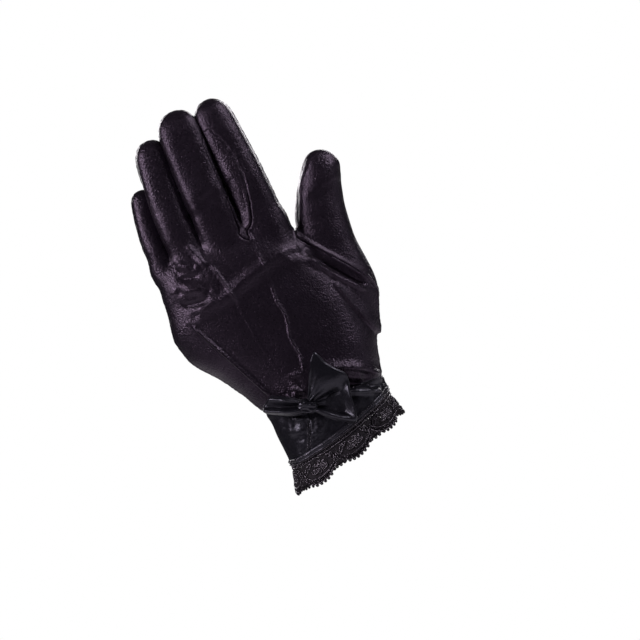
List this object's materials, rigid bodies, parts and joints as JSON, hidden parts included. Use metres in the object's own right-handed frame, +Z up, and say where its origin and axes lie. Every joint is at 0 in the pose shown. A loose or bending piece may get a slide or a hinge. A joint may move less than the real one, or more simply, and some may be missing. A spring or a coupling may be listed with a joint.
{
  "type": "satin dress glove",
  "caption": "Left-hand dress glove of black stretch satin, with strips between the fingers, a gathered wrist, a satin bow and a scalloped lace edge.",
  "frame": {"origin": "middle of the wrist at the elastic line", "axes": "+Z up the hand to the fingertips, -Y out of the back of the hand, +X to the thumb's side"},
  "size_m": [0.1229, 0.0573, 0.2227],
  "materials": {
    "satin": "black stretch satin, fine ribbed weave, soft broad sheen",
    "bow_satin": "black satin ribbon, smoother and glossier than the glove",
    "lace": "matt black lace thread, openwork with picots"
  },
  "bodies": {
    "root": {"back_panel": "satin", "palm_panel": "satin", "thumb": "satin", "fourchette_index_middle": "satin", "fourchette_middle_ring": "satin", "fourchette_ring_little": "satin", "cuff": "satin", "hem_band": "satin", "lace_trim": "lace", "bow_loop_right": "bow_satin", "bow_loop_left": "bow_satin", "bow_knot": "bow_satin"}
  },
  "joints": []
}
